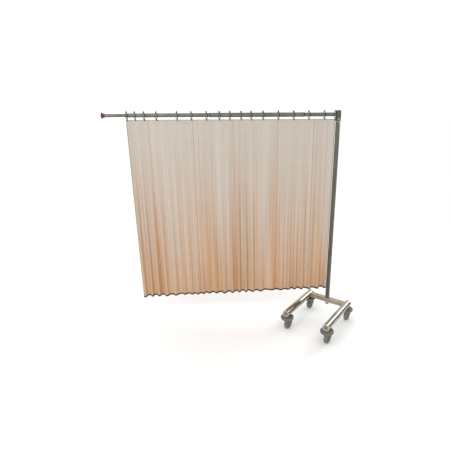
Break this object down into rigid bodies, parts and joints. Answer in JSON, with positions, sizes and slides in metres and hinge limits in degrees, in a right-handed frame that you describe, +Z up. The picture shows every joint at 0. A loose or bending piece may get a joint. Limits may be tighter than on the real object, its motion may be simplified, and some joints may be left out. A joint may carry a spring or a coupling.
{
  "type": "mobile curtain screen",
  "caption": "Rolling screen: a square mast on a two-legged caster base carries a swivelling telescopic arm from which a pleated curtain hangs on rings.",
  "frame": {"origin": "centre of the bounding box, on the floor under the wheels", "axes": "+X along the arm from its tip to the mast, +Y through the curtain from its front, the side of the front casters, to its back, +Z up"},
  "size_m": [2.1022, 0.6848, 1.8411],
  "materials": {
    "arm_tube": "satin",
    "mast_steel": "satin",
    "leg_chrome": "polished",
    "crossbar_steel": "satin",
    "plug_plastic": "satin",
    "zinc": "satin",
    "caster_plastic": "satin",
    "caster_wheel": "satin",
    "ring_plastic": "satin",
    "bush_plastic": "satin",
    "knob_plastic": "gloss",
    "curtain_cloth": "matte"
  },
  "bodies": {
    "base": {"leg_left": "leg_chrome", "leg_right": "leg_chrome", "crossbar": "crossbar_steel", "mast_tube": "mast_steel", "mast_foot_plug": "zinc", "mast_bolt": "zinc", "pivot_spigot": "zinc", "leg_plug_front_left": "plug_plastic", "leg_plug_rear_left": "plug_plastic", "leg_plug_front_right": "plug_plastic", "leg_plug_rear_right": "plug_plastic", "caster_stem_front_left": "zinc", "caster_stem_rear_left": "zinc", "caster_stem_front_right": "zinc", "caster_stem_rear_right": "zinc"},
    "head": {"swivel_head": "mast_steel", "head_cap": "mast_steel", "arm_tube_root": "arm_tube", "ring_17": "ring_plastic", "curtain": "curtain_cloth"},
    "lock": {"lock_knob": "zinc"},
    "sleeve": {"arm_sleeve": "arm_tube", "sleeve_bush_root": "bush_plastic", "sleeve_bush_tip": "bush_plastic"},
    "mid_arm": {"arm_tube_mid": "arm_tube", "mid_bush": "bush_plastic"},
    "tip_arm": {"arm_tube_tip": "arm_tube", "end_knob": "knob_plastic"},
    "ring_01": {"ring_01": "ring_plastic"},
    "ring_02": {"ring_02": "ring_plastic"},
    "ring_03": {"ring_03": "ring_plastic"},
    "ring_04": {"ring_04": "ring_plastic"},
    "ring_05": {"ring_05": "ring_plastic"},
    "ring_06": {"ring_06": "ring_plastic"},
    "ring_07": {"ring_07": "ring_plastic"},
    "ring_08": {"ring_08": "ring_plastic"},
    "ring_09": {"ring_09": "ring_plastic"},
    "ring_10": {"ring_10": "ring_plastic"},
    "ring_11": {"ring_11": "ring_plastic"},
    "ring_12": {"ring_12": "ring_plastic"},
    "ring_13": {"ring_13": "ring_plastic"},
    "ring_14": {"ring_14": "ring_plastic"},
    "ring_15": {"ring_15": "ring_plastic"},
    "ring_16": {"ring_16": "ring_plastic"},
    "caster_front_left": {"caster_housing_front_left": "caster_plastic", "caster_axle_front_left": "zinc"},
    "wheel_front_left": {"caster_wheel_front_left": "caster_wheel"},
    "pedal_front_left": {"brake_pedal_front_left": "caster_plastic"},
    "caster_rear_left": {"caster_housing_rear_left": "caster_plastic", "caster_axle_rear_left": "zinc"},
    "wheel_rear_left": {"caster_wheel_rear_left": "caster_wheel"},
    "pedal_rear_left": {"brake_pedal_rear_left": "caster_plastic"},
    "caster_front_right": {"caster_housing_front_right": "caster_plastic", "caster_axle_front_right": "zinc"},
    "wheel_front_right": {"caster_wheel_front_right": "caster_wheel"},
    "pedal_front_right": {"brake_pedal_front_right": "caster_plastic"},
    "caster_rear_right": {"caster_housing_rear_right": "caster_plastic", "caster_axle_rear_right": "zinc"},
    "wheel_rear_right": {"caster_wheel_rear_right": "caster_wheel"},
    "pedal_rear_right": {"brake_pedal_rear_right": "caster_plastic"}
  },
  "joints": [
    {"name": "arm_swivel", "type": "hinge", "parent": "base", "child": "head", "pos_m": [0.83289, 0.15794, 1.758], "axis": [0, 0, 1], "range_deg": [-36, 144]},
    {"name": "lock_turn", "type": "hinge", "parent": "head", "child": "lock", "pos_m": [0.83289, 0.13394, 1.7718], "axis": [0, -1, 0], "range_deg": [0, 180]},
    {"name": "sleeve_slide", "type": "slide", "parent": "head", "child": "sleeve", "axis": [1, 0, 0], "range_m": [0, 0.24], "deforming": ["curtain"]},
    {"name": "mid_slide", "type": "slide", "parent": "sleeve", "child": "mid_arm", "axis": [1, 0, 0], "range_m": [0, 0.243]},
    {"name": "tip_slide", "type": "slide", "parent": "mid_arm", "child": "tip_arm", "axis": [1, 0, 0], "range_m": [-0.1, 0.14]},
    {"name": "ring_slide_01", "type": "slide", "parent": "head", "child": "ring_01", "axis": [1, 0, 0], "range_m": [0, 1.1625]},
    {"name": "ring_slide_02", "type": "slide", "parent": "head", "child": "ring_02", "axis": [1, 0, 0], "range_m": [0, 1.1177]},
    {"name": "ring_slide_03", "type": "slide", "parent": "head", "child": "ring_03", "axis": [1, 0, 0], "range_m": [0, 1.0673]},
    {"name": "ring_slide_04", "type": "slide", "parent": "head", "child": "ring_04", "axis": [1, 0, 0], "range_m": [0, 0.9987]},
    {"name": "ring_slide_05", "type": "slide", "parent": "head", "child": "ring_05", "axis": [1, 0, 0], "range_m": [0, 0.8839]},
    {"name": "ring_slide_06", "type": "slide", "parent": "head", "child": "ring_06", "axis": [1, 0, 0], "range_m": [0, 0.8041]},
    {"name": "ring_slide_07", "type": "slide", "parent": "head", "child": "ring_07", "axis": [1, 0, 0], "range_m": [0, 0.7194]},
    {"name": "ring_slide_08", "type": "slide", "parent": "head", "child": "ring_08", "axis": [1, 0, 0], "range_m": [0, 0.6473]},
    {"name": "ring_slide_09", "type": "slide", "parent": "head", "child": "ring_09", "axis": [1, 0, 0], "range_m": [0, 0.5892]},
    {"name": "ring_slide_10", "type": "slide", "parent": "head", "child": "ring_10", "axis": [1, 0, 0], "range_m": [0, 0.5262]},
    {"name": "ring_slide_11", "type": "slide", "parent": "head", "child": "ring_11", "axis": [1, 0, 0], "range_m": [0, 0.4702]},
    {"name": "ring_slide_12", "type": "slide", "parent": "head", "child": "ring_12", "axis": [1, 0, 0], "range_m": [0, 0.4037]},
    {"name": "ring_slide_13", "type": "slide", "parent": "head", "child": "ring_13", "axis": [1, 0, 0], "range_m": [0, 0.3183]},
    {"name": "ring_slide_14", "type": "slide", "parent": "head", "child": "ring_14", "axis": [1, 0, 0], "range_m": [0, 0.2329]},
    {"name": "ring_slide_15", "type": "slide", "parent": "head", "child": "ring_15", "axis": [1, 0, 0], "range_m": [0, 0.1475]},
    {"name": "ring_slide_16", "type": "slide", "parent": "head", "child": "ring_16", "axis": [1, 0, 0], "range_m": [0, 0.0614]},
    {"name": "caster_swivel_front_left", "type": "hinge", "parent": "base", "child": "caster_front_left", "pos_m": [0.43986, -0.06904, 0.118], "axis": [0, 0, 1], "continuous": true},
    {"name": "wheel_spin_front_left", "type": "hinge", "parent": "caster_front_left", "child": "wheel_front_left", "pos_m": [0.45167, -0.05545, 0.05], "axis": [-0.7547, 0.6561, 0], "continuous": true},
    {"name": "brake_front_left", "type": "hinge", "parent": "caster_front_left", "child": "pedal_front_left", "pos_m": [0.46873, -0.03583, 0.117], "axis": [-0.7547, 0.6561, 0], "range_deg": [0, 8]},
    {"name": "caster_swivel_rear_left", "type": "hinge", "parent": "base", "child": "caster_rear_left", "pos_m": [0.68788, 0.27485, 0.118], "axis": [0, 0, 1], "continuous": true},
    {"name": "wheel_spin_rear_left", "type": "hinge", "parent": "caster_rear_left", "child": "wheel_rear_left", "pos_m": [0.69969, 0.28844, 0.05], "axis": [-0.7547, 0.6561, 0], "continuous": true},
    {"name": "brake_rear_left", "type": "hinge", "parent": "caster_rear_left", "child": "pedal_rear_left", "pos_m": [0.71675, 0.30806, 0.117], "axis": [-0.7547, 0.6561, 0], "range_deg": [0, 8]},
    {"name": "caster_swivel_front_right", "type": "hinge", "parent": "base", "child": "caster_front_right", "pos_m": [0.74158, -0.28664, 0.118], "axis": [0, 0, 1], "continuous": true},
    {"name": "wheel_spin_front_right", "type": "hinge", "parent": "caster_front_right", "child": "wheel_front_right", "pos_m": [0.75339, -0.27306, 0.05], "axis": [-0.7547, 0.6561, 0], "continuous": true},
    {"name": "brake_front_right", "type": "hinge", "parent": "caster_front_right", "child": "pedal_front_right", "pos_m": [0.77044, -0.25344, 0.117], "axis": [-0.7547, 0.6561, 0], "range_deg": [0, 8]},
    {"name": "caster_swivel_rear_right", "type": "hinge", "parent": "base", "child": "caster_rear_right", "pos_m": [0.9896, 0.05725, 0.118], "axis": [0, 0, 1], "continuous": true},
    {"name": "wheel_spin_rear_right", "type": "hinge", "parent": "caster_rear_right", "child": "wheel_rear_right", "pos_m": [1.00141, 0.07083, 0.05], "axis": [-0.7547, 0.6561, 0], "continuous": true},
    {"name": "brake_rear_right", "type": "hinge", "parent": "caster_rear_right", "child": "pedal_rear_right", "pos_m": [1.01847, 0.09046, 0.117], "axis": [-0.7547, 0.6561, 0], "range_deg": [0, 8]}
  ],
  "couplings": [
    {"joint": "mid_slide", "follows": "sleeve_slide", "ratio": 1.0104},
    {"joint": "ring_slide_01", "follows": "sleeve_slide", "ratio": 4.8417},
    {"joint": "ring_slide_02", "follows": "sleeve_slide", "ratio": 4.655},
    {"joint": "ring_slide_03", "follows": "sleeve_slide", "ratio": 4.445},
    {"joint": "ring_slide_04", "follows": "sleeve_slide", "ratio": 4.1592},
    {"joint": "ring_slide_05", "follows": "sleeve_slide", "ratio": 3.6808},
    {"joint": "ring_slide_06", "follows": "sleeve_slide", "ratio": 3.3483},
    {"joint": "ring_slide_07", "follows": "sleeve_slide", "ratio": 2.9954},
    {"joint": "ring_slide_08", "follows": "sleeve_slide", "ratio": 2.695},
    {"joint": "ring_slide_09", "follows": "sleeve_slide", "ratio": 2.4529},
    {"joint": "ring_slide_10", "follows": "sleeve_slide", "ratio": 2.1904},
    {"joint": "ring_slide_11", "follows": "sleeve_slide", "ratio": 1.9571},
    {"joint": "ring_slide_12", "follows": "sleeve_slide", "ratio": 1.68},
    {"joint": "ring_slide_13", "follows": "sleeve_slide", "ratio": 1.3242},
    {"joint": "ring_slide_14", "follows": "sleeve_slide", "ratio": 0.96833},
    {"joint": "ring_slide_15", "follows": "sleeve_slide", "ratio": 0.6125},
    {"joint": "ring_slide_16", "follows": "sleeve_slide", "ratio": 0.25375}
  ]
}
